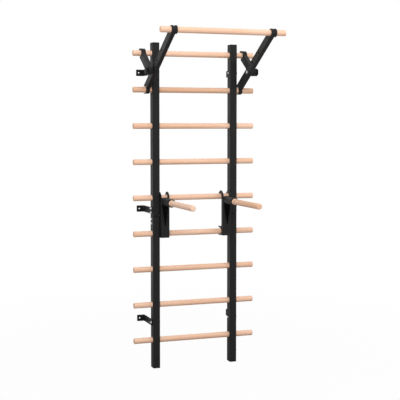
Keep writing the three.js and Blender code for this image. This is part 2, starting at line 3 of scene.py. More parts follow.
import bmesh
import bpy
import numpy as np
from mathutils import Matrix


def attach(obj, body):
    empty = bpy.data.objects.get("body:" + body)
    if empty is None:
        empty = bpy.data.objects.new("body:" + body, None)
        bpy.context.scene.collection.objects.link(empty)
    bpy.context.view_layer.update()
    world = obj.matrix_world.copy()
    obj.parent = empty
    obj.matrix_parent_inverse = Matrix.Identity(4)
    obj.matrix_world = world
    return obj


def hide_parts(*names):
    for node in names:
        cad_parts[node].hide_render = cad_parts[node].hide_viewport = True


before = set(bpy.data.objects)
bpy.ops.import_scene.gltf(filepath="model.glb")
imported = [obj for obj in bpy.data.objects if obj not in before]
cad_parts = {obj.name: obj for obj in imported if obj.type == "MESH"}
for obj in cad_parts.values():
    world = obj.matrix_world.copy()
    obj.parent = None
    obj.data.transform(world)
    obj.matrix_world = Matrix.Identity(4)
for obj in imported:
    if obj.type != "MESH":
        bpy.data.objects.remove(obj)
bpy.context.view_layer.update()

# Uprights: each post is two lengths of box-section steel tube that butt at mid height over a hidden
# sleeve, with a fine groove at the seam whose faces are painted flat black as painted shade. The tube is
# punched right through for the rungs, deburred at its ends and finished in black satin powder coat.
post_centre = 0.291
post_half_wide = 0.025
post_half_deep = 0.033
post_wall = 0.0025
post_corner = 0.005
post_foot = 0.0043
post_head = 2.2957
post_seam = 1.0855
seam_clearance = 0.00015
seam_half = 0.0020
seam_rim = 0.0022
seam_reach = (seam_half + seam_rim) / 2
seam_depth = 0.0008
rung_depth = -0.190
rung_heights = 0.200 + 0.253 * np.arange(9)
rung_hole = 0.0203
rung_tile = 0.0242
tile_lines = 11
deburr = 0.0007
deburr_run = 0.0008
deburr_stops = deburr_run * np.array((0, 0.25, 0.5, 1, 2.5))
hair = 1e-6
quarter_turn = np.pi / 2
sides = {"left": -1, "right": 1}


def node(tree, kind, inputs=None, **settings):
    """Adds one shader node of a kind such as TexNoise. Settings are its options; an input takes a value or
    another node's output."""
    made = tree.nodes.new(f"ShaderNode{kind}")
    for key, value in settings.items():
        setattr(made, key, value)
    for key, value in (inputs or {}).items():
        if isinstance(value, bpy.types.NodeSocket):
            tree.links.new(value, made.inputs[key])
        else:
            made.inputs[key].default_value = value
    return made


def effect(name, inputs, outputs):
    """Opens a shader node group with named sockets and returns it with its inner inputs and outputs."""
    group = bpy.data.node_groups.new(name, "ShaderNodeTree")
    for label, kind, value in inputs:
        socket = group.interface.new_socket(label, in_out="INPUT", socket_type=f"NodeSocket{kind}")
        socket.default_value = value
    for label, kind in outputs:
        group.interface.new_socket(label, in_out="OUTPUT", socket_type=f"NodeSocket{kind}")
    return group, group.nodes.new("NodeGroupInput").outputs, group.nodes.new("NodeGroupOutput").inputs


def layer(tree, group, inputs=None):
    """Places a node group in a material and returns its outputs."""
    return node(tree, "Group", inputs, node_tree=group).outputs


def on_piece(tree):
    """The piece's own coordinates, in metres."""
    return node(tree, "TexCoord").outputs["Object"]


def noise(tree, where, scale, detail, roughness=0.5):
    """Noise with so many grains per metre."""
    return node(tree, "TexNoise", {
        "Vector": where, "Scale": scale, "Detail": detail, "Roughness": roughness}).outputs["Fac"]


def ranged(tree, value, low, high, least=0.0, most=1.0):
    """A value brought from low .. high to least .. most, and held within them."""
    return node(tree, "MapRange", {
        "Value": value, "From Min": low, "From Max": high, "To Min": least, "To Max": most}).outputs["Result"]


def reckon(tree, operation, *values):
    """One sum on shader values."""
    return node(tree, "Math", dict(enumerate(values)), operation=operation).outputs[0]


def blend(tree, share, first, second):
    """The colour that lies this share of the way from the first to the second."""
    mixed = node(tree, "Mix", {"Factor": share, "A": first, "B": second}, data_type="RGBA")
    return mixed.outputs["Result"]


def finish(name, roughness, metallic=0.0, ior=1.45):
    """Opens a material with a Principled shader and returns it with its node tree."""
    material = bpy.data.materials.new(name)
    material.use_nodes = True
    shader = material.node_tree.nodes["Principled BSDF"].inputs
    for label, value in (("Roughness", roughness), ("Metallic", metallic), ("IOR", ior)):
        shader[label].default_value = value
    return material, material.node_tree


def dress(tree, colour, height, strength, depth, roughness=None):
    """Links a finish's colour, its bump and, where it varies, its roughness to the shader."""
    bump = node(tree, "Bump", {"Strength": strength, "Distance": depth, "Height": height})
    shader = tree.nodes["Principled BSDF"].inputs
    tree.links.new(colour, shader["Base Color"])
    tree.links.new(bump.outputs["Normal"], shader["Normal"])
    if roughness is not None:
        tree.links.new(roughness, shader["Roughness"])


# Orange peel of a sprayed or moulded skin: a soft swell, a fine grit on it, and a slow drift of tone.
peel, peel_in, peel_out = effect(
    "skin_texture",
    [("Swell per metre", "Float", 420.0), ("Grit per metre", "Float", 2100.0), ("Grit share", "Float", 0.35)],
    [("Height", "Float"), ("Tone", "Float")])
peel_place = on_piece(peel)
skin_swell = noise(peel, peel_place, peel_in["Swell per metre"], detail=2.0)
skin_grit = noise(peel, peel_place, peel_in["Grit per metre"], detail=1.0)
skin_height = node(peel, "Mix", {"Factor": peel_in["Grit share"], "A": skin_swell, "B": skin_grit})
peel.links.new(skin_height.outputs["Result"], peel_out["Height"])
peel.links.new(noise(peel, peel_place, scale=7.0, detail=4.0), peel_out["Tone"])

# Rubbed edges with a painted highlight: where the surface turns over a crisp edge it is paler, in patches,
# partly as rubbed wear and partly as a painted highlight that stands in for the edge's reflection.
wear_and_highlight, wear_and_highlight_in, wear_and_highlight_out = effect(
    "rubbed_and_highlit_edges", [("Start", "Float", 0.53), ("Full", "Float", 0.62), ("Most", "Float", 0.6)],
    [("Mask", "Float")])
turn_over = node(wear_and_highlight, "NewGeometry").outputs["Pointiness"]
worn_highlit_edge_mask = ranged(wear_and_highlight, turn_over, wear_and_highlight_in["Start"], wear_and_highlight_in["Full"], most=wear_and_highlight_in["Most"])
patch_mask = ranged(wear_and_highlight, noise(wear_and_highlight, on_piece(wear_and_highlight), scale=60.0, detail=5.0), low=0.35, high=0.65)
wear_and_highlight.links.new(reckon(wear_and_highlight, "MULTIPLY", worn_highlit_edge_mask, patch_mask), wear_and_highlight_out["Mask"])

# Dust: a thin pale film that settles on what faces up, broken by handling.
dust, dust_in, dust_out = effect("settled_dust", [("Most", "Float", 0.1)], [("Mask", "Float")])
facing = node(dust, "SeparateXYZ", {"Vector": node(dust, "NewGeometry").outputs["Normal"]})
upward = ranged(dust, facing.outputs["Z"], low=0.5, high=1.0, most=dust_in["Most"])
specks = noise(dust, on_piece(dust), scale=90.0, detail=8.0, roughness=0.7)
dust.links.new(reckon(dust, "MULTIPLY", upward, specks), dust_out["Mask"])


def skinned(name, ior, dark, pale, strength, depth, roughness=0.5, rough_range=None, texture=None,
            rubbed_and_highlit=None, most_rubbed_and_highlit=0.6, dusty=None):
    """A sprayed or moulded skin, whose tone drifts from dark to pale. Rubbed edges with a painted highlight,
    and dust, lie on it where their colours are given, and its roughness follows the tone where a range is
    given."""
    material, tree = finish(name, roughness, ior=ior)
    skin = layer(tree, peel, texture)
    colour = blend(tree, skin["Tone"], dark, pale)
    # Paler edges where a rubbed colour is given: partly rubbed wear, partly a painted highlight.
    if rubbed_and_highlit:
        colour = blend(tree, layer(tree, wear_and_highlight, {"Most": most_rubbed_and_highlit})["Mask"], colour, rubbed_and_highlit)
    if dusty:
        colour = blend(tree, layer(tree, dust)["Mask"], colour, dusty)
    rough = ranged(tree, skin["Tone"], 0.3, 0.7, *rough_range) if rough_range else None
    dress(tree, colour, skin["Height"], strength, depth, rough)
    return material


# Black satin powder coat on steel, and a flat black that is painted shade: it stands for the shade in the
# seam grooves of the posts and under the dip sockets.
# Its rubbed colour pales the edges: partly wear, partly a painted highlight.
powder_coat = skinned(
    "black_powder_coat", ior=1.22, dark=(0.0105, 0.0098, 0.0100, 1), pale=(0.0155, 0.0147, 0.0149, 1),
    rubbed_and_highlit=(0.045, 0.043, 0.042, 1), dusty=(0.16, 0.155, 0.15, 1), rough_range=(0.44, 0.56),
    strength=0.22, depth=0.0004)
shade_black = skinned(
    "painted_shade_black", ior=1.08, dark=(0.0018, 0.0017, 0.0017, 1), pale=(0.0042, 0.0040, 0.0040, 1),
    roughness=0.8, texture={"Grit share": 0.7}, strength=0.3, depth=0.0004)


def ring_quads(index):
    """Quads between the rows of an index array, where each row goes once round a closed ring."""
    after = np.roll(index, -1, 1)
    return np.stack([index[:-1], after[:-1], after[1:], index[1:]], -1).reshape(-1, 4)


def punched_sheet(us, vs, holes, rings=3):
    """Flat sheet with round holes, as points (u, v) and quads. The sheet is a grid over us by vs; each hole
    (u, v, radius, reach u, reach v) takes out a block of cells, and rings of quads lead from the edge of the
    block to the circle: point = edge + (circle - edge) * k / rings."""
    index = np.arange(len(us) * len(vs)).reshape(len(us), len(vs))
    grid = np.stack(np.meshgrid(us, vs, indexing="ij"), -1).reshape(-1, 2)
    keep = np.ones((len(us) - 1, len(vs) - 1), bool)
    points, faces, count = [grid], [], len(grid)
    steps = np.arange(1, rings + 1)[:, None, None] / rings
    for u, v, radius, reach_u, reach_v in holes:
        i0, i1 = np.searchsorted(us, (u - reach_u - hair, u + reach_u - hair))
        j0, j1 = np.searchsorted(vs, (v - reach_v - hair, v + reach_v - hair))
        keep[i0:i1, j0:j1] = False
        edge = np.concatenate([index[i0:i1, j0], index[i1, j0:j1], index[i1:i0:-1, j1], index[i0, j1:j0:-1]])
        away = grid[edge] - (u, v)
        rim = (u, v) + radius * away / np.linalg.norm(away, axis=1, keepdims=True)
        points.append((grid[edge] + (rim - grid[edge]) * steps).reshape(-1, 2))
        inner = count + np.arange(rings * len(edge)).reshape(rings, -1)
        faces.append(ring_quads(np.vstack([edge, inner])))
        count += inner.size
    quads = np.stack([index[:-1, :-1], index[1:, :-1], index[1:, 1:], index[:-1, 1:]], -1)[keep]
    return np.vstack(points), np.vstack([quads, *faces])


def box_path(half_wide, half_deep, corner, flat_steps=8, corner_steps=7):
    """Once round a rectangle with rounded corners, seen from above, from the middle of its +Y side by way of
    -X: returns the distance run and the point (x, y) at each stop. A corner is a quarter circle about
    (wide, deep)."""
    quarter = np.linspace(0, quarter_turn, corner_steps)
    bend = corner * np.column_stack([np.cos(quarter), np.sin(quarter)])
    swung = bend[:, ::-1] * (-1, 1)
    wide, deep = half_wide - corner, half_deep - corner
    run = np.linspace(deep, -deep, flat_steps + 1)[1:-1]
    flat = np.column_stack([np.full_like(run, -half_wide), run])
    stops = np.vstack([
        [(0, half_deep)], swung + (-wide, deep), flat, -bend + (-wide, -deep), -swung + (wide, -deep), -flat,
        bend + (wide, deep), [(0, half_deep)]])
    return np.concatenate([[0], np.cumsum(np.linalg.norm(np.diff(stops, axis=0), axis=1))]), stops


def add_piece(name, points, faces, body, material, slot, stands_for, sharp=32, turn_out=True):
    """One piece from its points and faces: doubles are merged, faces turned outwards, and only edges steeper
    than the sharp angle stay crisp. It rides on its body and stands for its CAD node."""
    mesh = bpy.data.meshes.new(name)
    mesh.from_pydata(np.asarray(points).tolist(), [], [list(map(int, face)) for face in faces])
    work = bmesh.new()
    work.from_mesh(mesh)
    bmesh.ops.remove_doubles(work, verts=work.verts, dist=2 * hair)
    if turn_out:
        bmesh.ops.recalc_face_normals(work, faces=work.faces)
    work.to_mesh(mesh)
    work.free()
    mesh.polygons.foreach_set("use_smooth", np.ones(len(mesh.polygons), bool))
    mesh.set_sharp_from_angle(angle=math.radians(sharp))
    mesh.materials.append(material)
    piece = bpy.data.objects.new(name, mesh)
    bpy.context.scene.collection.objects.link(piece)
    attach(piece, body)
    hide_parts(stands_for)
    return piece


def add_pair(kind, form, points, faces, body, material, slot, turn_out=True, **options):
    """A piece on the right and its mirror image on the left, (-x, y, z), each for its own CAD node. Where the
    body's name holds {side}, each rides on its own side's body. Returns both."""
    pair = []
    for label, side in sides.items():
        name, mirrored = f"{kind}_{label}", points * np.array((side, 1, 1))
        wound = faces if turn_out or side > 0 else faces[:, ::-1]
        pair.append(add_piece(f"{name}_{form}", mirrored, wound, body.format(side=label), material, slot,
                              name, turn_out=turn_out, **options))
    return pair


def thicken(pieces, thickness):
    """Gives open surfaces their wall, on the inner side."""
    for piece in pieces:
        wall = piece.modifiers.new("wall", "SOLIDIFY")
        wall.thickness = thickness
        wall.offset = -1


post_spans = {"lower": (post_foot, post_seam - seam_clearance),
              "upper": (post_seam + seam_clearance, post_head)}
post_run, post_stops = box_path(post_half_wide, post_half_deep, post_corner)
post_flat = post_half_deep - post_corner
face_middles = [post_run[np.abs(post_stops[:, 0] - side * post_half_wide) < hair].mean() for side in (-1, 1)]
groove = post_seam + np.array((-seam_rim, -seam_half, seam_half, seam_rim))
for half, (low, high) in post_spans.items():
    inside = rung_heights[(rung_heights > low) & (rung_heights < high)]
    tiles = (inside[:, None] + rung_tile * np.linspace(-1, 1, tile_lines)).ravel()
    stops = np.unique(np.concatenate([
        low + deburr_stops, tiles, high - deburr_stops, groove[(groove > low) & (groove < high)]]))
    flat, faces = punched_sheet(post_run, stops, [
        (middle, height, rung_hole, post_flat, rung_tile) for middle in face_middles for height in inside])
    from_end = np.minimum(flat[:, 1] - low, high - flat[:, 1])
    inset = deburr * np.clip(1 - from_end / deburr_run, 0, 1) ** 2
    inset = np.where(np.abs(flat[:, 1] - post_seam) < seam_reach, seam_depth, inset)
    around = np.column_stack([np.interp(flat[:, 0], post_run, post_stops[:, k]) for k in (0, 1)])
    around = around * (1 - inset[:, None] / (post_half_wide, post_half_deep))
    skin = np.column_stack([around + (post_centre, rung_depth), flat[:, 1]])
    tubes = add_pair(f"post_{half}", "tube", skin, faces, "frame", powder_coat, "black_steel", turn_out=False)
    for tube in tubes:
        # The faces in the seam groove take the flat black: painted shade in the seam.
        tube.data.materials.append(shade_black)
        middles = np.zeros(len(tube.data.polygons) * 3)
        tube.data.polygons.foreach_get("center", middles)
        painted_seam_shade = np.abs(middles[2::3] - post_seam) < seam_reach
        tube.data.polygons.foreach_set("material_index", painted_seam_shade.astype(np.int32))
    thicken(tubes, post_wall)

# Joining sleeves: a length of smaller box tube with weld nuts, pushed into both halves of a post
# at the seam. They are out of sight, so the CAD solids stay and take the same coat.
for label in sides:
    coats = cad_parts[f"joining_sleeve_{label}"].data.materials
    coats.clear()
    coats.append(powder_coat)

# Caps: moulded plastic plugs that close the posts at the head and stand them on the floor. The
# plate has rolled edges and a slight crown; its plug is out of sight in the tube.
cap_levels = {"top": 2.296, "foot": 0.004}
cap_crown = [(post_half_wide, 0.004), (0.012, 0.00385), (0.004, 0.0035)]
cap_shoulder = 0.0032
cap_roll = 0.0016
cap_chamfer = 0.0004
plug_inset, plug_tip_inset = 0.003, 0.006
plug_taper, plug_end = -0.016, -0.018

# Its rubbed colour pales the edges: partly wear, partly a painted highlight.
moulded = skinned(
    "black_moulded_plastic", ior=1.25, dark=(0.006, 0.006, 0.0062, 1), pale=(0.010, 0.010, 0.0104, 1),
    rubbed_and_highlit=(0.045, 0.045, 0.046, 1), most_rubbed_and_highlit=0.4, rough_range=(0.45, 0.6), strength=0.3, depth=0.0003,
    texture={"Swell per metre": 650.0, "Grit per metre": 2600.0, "Grit share": 0.6})


def stacked_boxes(stops, halves, levels):
    """Rounded rectangles one above the other: each (inset, height) draws the path round the rectangle in
    towards its middle, point = stop * (1 - inset / half), and quads join each level to the next."""
    inset, height = np.asarray(levels, float).T
    flat = stops[None, :-1] * (1 - inset[:, None, None] / np.asarray(halves))
    points = np.concatenate([flat, np.broadcast_to(height[:, None, None], (*flat.shape[:2], 1))], -1)
    return points.reshape(-1, 3), ring_quads(np.arange(flat.size // 2).reshape(flat.shape[:2]))


roll = np.linspace(0, quarter_turn, 6)
cap_edge = np.column_stack([cap_roll * (1 - np.sin(roll)), cap_shoulder - cap_roll * (1 - np.cos(roll))])
plug = [(0, cap_chamfer), (cap_chamfer, 0), (plug_inset, 0), (plug_inset, plug_taper),
        (plug_tip_inset, plug_end), (post_half_wide, plug_end)]
cap_section = np.vstack([cap_crown, cap_edge, plug])
cap, faces = stacked_boxes(post_stops, (post_half_wide, post_half_deep), cap_section)
for end, level in cap_levels.items():
    upright = (1, -1, -1) if end == "foot" else (1, 1, 1)
    placed = cap * upright + (post_centre, rung_depth, level)
    add_pair(f"{end}_cap", "plug", placed, faces, "frame", moulded, "black_plastic")

# Rungs: nine turned beech rods that pass right through both posts, with eased ends, sanded and
# finished in clear matt lacquer. The grain runs along each rod and its rings show on the ends; the
# eighth is from darker wood than the rest.
rung_radius = 0.020
rung_half_length = 0.450
rung_ease = 0.0034
darker_rung = 8
darker_pale = (0.75, 0.51, 0.375, 1)
wood_sharp = 50

# Beech: growth rings across the grain, fine fibres and short dark flecks along it, paler and darker
# stretches, and another tone where the end of the grain shows.
beech, beech_in, beech_out = effect(
    "beech_grain",
    [("Along grain", "Vector", (0, 0, 0)), ("Grain axis", "Vector", (1, 0, 0)),
     ("Pale", "Color", (0.84, 0.59, 0.45, 1)), ("Dark", "Color", (0.64, 0.335, 0.185, 1)),
     ("End grain", "Float", 0.15)],
    [("Color", "Color"), ("Roughness", "Float"), ("Height", "Float")])


def stretched_noise(scale, detail, roughness=0.5):
    """Noise on the grain's own axes, drawn out along the grain by its first scale."""
    mapped = node(beech, "Mapping", {"Vector": beech_in["Along grain"], "Scale": scale})
    return noise(beech, mapped.outputs["Vector"], 1.0, detail, roughness)


def run_along(first, second):
    """How far the first vector runs along the second: their dot product."""
    return node(beech, "VectorMath", {0: first, 1: second}, operation="DOT_PRODUCT").outputs["Value"]


ring_slope, ring_wander = (0, 1250.0, 900.0), 16.0
wander = stretched_noise((2.2, 26.0, 26.0), detail=2.0)
ring_run = run_along(beech_in["Along grain"], ring_slope)
ring_phase = reckon(beech, "MULTIPLY_ADD", wander, ring_wander, ring_run)
ring_mask = ranged(beech, reckon(beech, "SINE", ring_phase), low=-0.6, high=1.0, most=0.34)
fibre = stretched_noise((26.0, 1100.0, 1100.0), detail=3.0, roughness=0.6)
fibre_mask = ranged(beech, fibre, low=0.35, high=0.75, most=0.3)
fleck = stretched_noise((170.0, 1500.0, 1500.0), detail=1.0)
fleck_mask = ranged(beech, fleck, low=0.6, high=0.7, most=0.42)
stretch = stretched_noise((1.7, 9.0, 9.0), detail=2.0)
stretch_mask = ranged(beech, stretch, low=0.35, high=0.7, most=0.3)
end_facing = run_along(node(beech, "NewGeometry").outputs["Normal"], beech_in["Grain axis"])
end_turn = reckon(beech, "ABSOLUTE", end_facing)
end_mask = ranged(beech, end_turn, low=0.6, high=0.98, most=beech_in["End grain"])
darkness = ring_mask
for mask in (fibre_mask, fleck_mask, stretch_mask, end_mask):
    darkness = reckon(beech, "ADD", darkness, mask)
beech.links.new(blend(beech, darkness, beech_in["Pale"], beech_in["Dark"]), beech_out["Color"])
beech.links.new(ranged(beech, fibre, low=0.3, high=0.7, least=0.4, most=0.54), beech_out["Roughness"])
beech.links.new(reckon(beech, "SUBTRACT", fibre, fleck_mask), beech_out["Height"])


def beech_finish(name, turn, axis, tones=None):
    """Lacquered beech whose grain runs along the given axis; turn brings that axis onto the grain's own, and
    tones gives one piece's wood its own colours."""
    material, tree = finish(name, roughness=0.46, ior=1.3)
    along = node(tree, "Mapping", {"Vector": on_piece(tree), "Rotation": turn})
    grain = layer(tree, beech, {"Along grain": along.outputs["Vector"], "Grain axis": axis, **(tones or {})})
    dress(tree, grain["Color"], grain["Height"], strength=0.16, depth=0.0003, roughness=grain["Roughness"])
    return material


def eased(corners, radius, closed=False, steps=7):
    """Corners joined by straight lines, each corner rounded: a parabola leads from radius before it to radius
    after it, (1 - t)^2 before + 2 t (1 - t) corner + t^2 after."""
    corners = np.asarray(corners, float)
    radius = np.broadcast_to(radius, len(corners))[:, None]

    def towards(other):
        leg = other - corners
        length = np.maximum(np.linalg.norm(leg, axis=1, keepdims=True), 1e-12)
        return corners + leg * np.minimum(radius / length, 0.5)

    before, after = towards(np.roll(corners, 1, 0)), towards(np.roll(corners, -1, 0))
    t = np.linspace(0, 1, steps)[:, None, None]
    curve = (1 - t) ** 2 * before + 2 * t * (1 - t) * corners + t ** 2 * after
    curve = curve.transpose(1, 0, 2).reshape(-1, 2)
    if not closed:
        curve = np.vstack([corners[:1], curve[steps:-steps], corners[-1:]])
    return curve


def once_round(around):
    """Even angles once round a circle."""
    return np.linspace(0, 2 * np.pi, around, endpoint=False)


def swept(radius, along, start, axis=(1, 0, 0)):
    """Form round an axis: point = start + along * axis + radius * (cos t * side + sin t * up). The radius has
    a row for each place along the axis, and a column for each angle t once round it."""
    axis = np.asarray(axis, float)
    side = np.roll(axis, 1)
    t = once_round(radius.shape[1])
    spoke = np.outer(np.cos(t), side) + np.outer(np.sin(t), np.cross(axis, side))
    points = np.asarray(start) + along[:, None, None] * axis + radius[:, :, None] * spoke
    return points.reshape(-1, 3), ring_quads(np.arange(radius.size).reshape(radius.shape))


def turned(profile, start, axis=(1, 0, 0), around=72):
    """Turned form: each (radius, along) of the profile swept round the axis at one radius."""
    radius, along = np.asarray(profile, float).T
    return swept(np.repeat(radius[:, None], around, 1), along, start, axis)


def rod(half_length, middle):
    """Plain turned rod along X with eased ends."""
    corners = [(0, -half_length), (rung_radius, -half_length), (rung_radius, half_length), (0, half_length)]
    return turned(eased(corners, rung_ease), middle)


beech_rod = beech_finish("beech_along_rungs", (0, 0, 0), (1, 0, 0))
beech_darker = beech_finish("beech_along_darker_rung", (0, 0, 0), (1, 0, 0), {"Pale": darker_pale})
for number, height in enumerate(rung_heights, 1):
    form, faces = rod(rung_half_length, (0, rung_depth, height))
    wood = beech_darker if number == darker_rung else beech_rod
    add_piece(f"rung_{number}_rod", form, faces, "frame", wood, "beech", f"rung_{number}", sharp=wood_sharp)

# Wall brackets: strips of steel plate bent once, so that one leg lies on the outer side of a post and
# the other on the wall. Each has one hole for a wall screw, and is coated after bending.
strip_thickness = 0.005
strip_height = 0.046
strip_web = 0.3188
strip_start = -0.202
strip_run = 0.194
strip_bend = 0.0055
strip_flange = 0.048
strip_corner = 0.005
strip_edge = 0.0009
screw_hole = 0.005
screw_from_bend = 0.029
bracket_heights = {"lower": 0.3265, "middle": 1.1235, "upper": 2.0975}


def pressed_plate(outline, holes, thickness, edge, cuts=(), layers=()):
    """Flat plate in (u, v, w): the outline with its holes, as thick in w as asked, and its edges rolled over
    in a quarter circle. Extra straight cuts across u let it be folded there, and layers cut it across w."""
    curve = bpy.data.curves.new("plate", "CURVE")
    curve.dimensions = "2D"
    curve.fill_mode = "BOTH"
    curve.extrude = thickness / 2 - edge
    curve.bevel_depth = edge
    curve.bevel_resolution = 2
    curve.offset = -edge
    for ring in (outline, *holes):
        spline = curve.splines.new("POLY")
        spline.points.add(len(ring) - 1)
        flat = np.column_stack([ring, np.zeros(len(ring)), np.ones(len(ring))])
        spline.points.foreach_set("co", flat.ravel())
        spline.use_cyclic_u = True
    holder = bpy.data.objects.new("plate", curve)
    mesh = bpy.data.meshes.new_from_object(holder)
    work = bmesh.new()
    work.from_mesh(mesh)
    bmesh.ops.remove_doubles(work, verts=work.verts, dist=hair)
    planes = [((u, 0, 0), (1, 0, 0)) for u in cuts] + [((0, 0, w), (0, 0, 1)) for w in layers]
    for place, normal in planes:
        bmesh.ops.bisect_plane(work, geom=work.verts[:] + work.edges[:] + work.faces[:],
                               plane_co=place, plane_no=normal)
    work.to_mesh(mesh)
    work.free()
    points = np.empty(3 * len(mesh.vertices))
    mesh.vertices.foreach_get("co", points)
    faces = [list(face.vertices) for face in mesh.polygons]
    bpy.data.objects.remove(holder)
    bpy.data.curves.remove(curve)
    bpy.data.meshes.remove(mesh)
    return points.reshape(-1, 3), faces


def arc(centre, radius, first, last, steps=24):
    """Points on a circle from one angle to another, in degrees."""
    t = np.radians(np.linspace(first, last, steps))
    return np.asarray(centre) + radius * np.column_stack([np.cos(t), np.sin(t)])


def circle(centre, radius, around=40):
    """Points once round a circle."""
    return arc(centre, radius, 0, 360, around + 1)[:-1]


def folded(points, segments, start, heading, steps=8001):
    """Folds a flat plate: u runs along a path of (length, turn) segments from start, v goes up, and w lies to
    the right of the path. The heading turns evenly within a segment; the path is the sum of small steps."""
    lengths, turns = np.asarray(segments).T
    ends = np.concatenate([[0], np.cumsum(lengths)])
    headings = heading + np.concatenate([[0], np.cumsum(turns)])
    u = np.linspace(0, ends[-1], steps)
    angle = np.interp(u, ends, headings)
    middle = (angle[1:] + angle[:-1]) / 2
    small = np.diff(u)[:, None] * np.column_stack([np.cos(middle), np.sin(middle)])
    path = np.asarray(start) + np.vstack([[[0, 0]], np.cumsum(small, 0)])
    a = np.interp(points[:, 0], u, angle)
    x = np.interp(points[:, 0], u, path[:, 0]) + points[:, 2] * np.sin(a)
    y = np.interp(points[:, 0], u, path[:, 1]) - points[:, 2] * np.cos(a)
    return np.column_stack([x, y, points[:, 1]])


def flatten_normals(pieces):
    """Large flat faces keep flat shading beside their rolled edges."""
    for piece in pieces:
        piece.modifiers.new("flat faces", "WEIGHTED_NORMAL").keep_sharp = True


bend_run = strip_bend * quarter_turn
strip_length = strip_run + bend_run + strip_flange
strip_ends = np.array(((0, -1), (1, -1), (1, 1), (0, 1))) * (strip_length, strip_height / 2)
strip_outline = eased(strip_ends, strip_corner, closed=True)
screw_place = (strip_run + bend_run + screw_from_bend, 0)
strip_plate, strip_faces = pressed_plate(
    strip_outline, [circle(screw_place, screw_hole)], strip_thickness, strip_edge,
    cuts=strip_run + bend_run * np.linspace(0, 1, 9))
strip = folded(strip_plate, [(strip_run, 0), (bend_run, -quarter_turn), (strip_flange, 0)],
               (strip_web, strip_start), quarter_turn)
for level, height in bracket_heights.items():
    flatten_normals(add_pair(f"wall_bracket_{level}", "strip", strip + (0, 0, height), strip_faces, "frame",
                             powder_coat, "black_steel"))

# Frame bolts: zinc-plated hexagon bolts with a flange. Those at the outer brackets go right through
# the post to a nut; those at the seam screw into the sleeve.
bolt_radius = 0.004
bolt_flange = 0.009
flange_height = 0.002
flange_rim = 0.0009
flange_neck, flange_top = 0.00676, 0.0023
flange_ease = 0.0006
thread_pitch = 0.00125
thread_step = 0.00025
thread_half_depth = 0.0003
hex_across = 0.013
hex_height = 0.0055
hex_sunk = 0.001
hex_levels = np.array((0, 0, 0.72, 0.8, 0.88, 0.95, 1, 1, 0.93, 0.93))
hex_shares = np.array((0, 1, 1, 1, 1, 1, 1, 0.62, 0.55, 0))
hex_cone, hex_cone_slope = 0.95, 0.9
nut_height = 0.0065
past_nut = 0.003
web_face = 0.3216
outer_face = 0.3163
inner_face = 0.2657
through_length = web_face - inner_face + nut_height + past_nut
seam_bolt_tip = 0.3025
seam_bolt_heights = post_seam + np.array((0.053, 0.023, -0.023, -0.053))

# Bright zinc: a cloudy tone, and fine spangles that differ in gloss.
zinc_dark, zinc_pale = (0.56, 0.57, 0.59, 1), (0.78, 0.79, 0.80, 1)
zinc, zinc_tree = finish("zinc_plate", roughness=0.3, metallic=1.0)
zinc_place = on_piece(zinc_tree)
zinc_spangle = node(zinc_tree, "TexVoronoi", {"Vector": zinc_place, "Scale": 700.0})
zinc_cloud = noise(zinc_tree, zinc_place, scale=260.0, detail=4.0)
zinc_rough = ranged(zinc_tree, zinc_spangle.outputs["Distance"], low=0.0, high=0.8, least=0.22, most=0.4)
dress(zinc_tree, blend(zinc_tree, zinc_cloud, zinc_dark, zinc_pale), zinc_cloud, strength=0.1, depth=0.0002,
      roughness=zinc_rough)


def hexagon(height, start, axis=(1, 0, 0), around=72):
    """Hexagon head: at each angle t the radius is the lesser of the hexagon, across / 2 / cos(t within a
    sixth), and a cone that takes its corners off at the outer end; a small dish sits in its top."""
    t = once_round(around)
    flat = hex_across / 2 / np.cos((t + np.pi / 6) % (np.pi / 3) - np.pi / 6)
    along = hex_levels * height
    cone = hex_across / 2 * hex_cone + (height - along) * hex_cone_slope
    return swept(np.minimum(flat, cone[:, None]) * hex_shares[:, None], along, start, axis)


def together(*forms):
    """Several forms as one: their points in a row, and their faces renumbered to match."""
    starts = np.cumsum([0] + [len(points) for points, _ in forms[:-1]]).tolist()
    faces = [[corner + start for corner in face] for start, (_, part) in zip(starts, forms) for face in part]
    return np.vstack([points for points, _ in forms]), faces


def flanged_head(start):
    """Head of a frame bolt, outwards along X from the face it is screwed down on: a coned flange with a
    rolled rim, and the hexagon on it."""
    rim = [(0, 0), (bolt_flange, 0), (bolt_flange, flange_rim), (flange_neck, flange_top), (0, flange_top)]
    foot = np.asarray(start) + (flange_height - hex_sunk, 0, 0)
    return turned(eased(rim, flange_ease), start), hexagon(hex_height + hex_sunk, foot)


def shank(start, length):
    """Threaded shank inwards along X: radius - half depth * (1 - cos(2 pi * along / pitch))."""
    along = np.linspace(0, length, int(length / thread_step))
    ridge = bolt_radius - thread_half_depth * (1 - np.cos(2 * np.pi * along / thread_pitch))
    profile = np.vstack([[(0, 0)], np.column_stack([ridge, -along]), [(0, -length)]])
    return turned(profile, start, around=24)


for level in ("lower", "upper"):
    face = (web_face, rung_depth, bracket_heights[level])
    nut = hexagon(nut_height, (inner_face, *face[1:]), (-1, 0, 0))
    bolt, faces = together(*flanged_head(face), shank(face, through_length), nut)
    add_pair(f"bracket_bolt_{level}", "zinc", bolt, faces, "frame", zinc, "zinc_bolts")
for number, height in enumerate(seam_bolt_heights, 1):
    face = (web_face if height > post_seam else outer_face, rung_depth, height)
    bolt, faces = together(*flanged_head(face), shank(face, face[0] - seam_bolt_tip))
    add_pair(f"seam_bolt_{number}", "zinc", bolt, faces, "frame", zinc, "zinc_bolts")

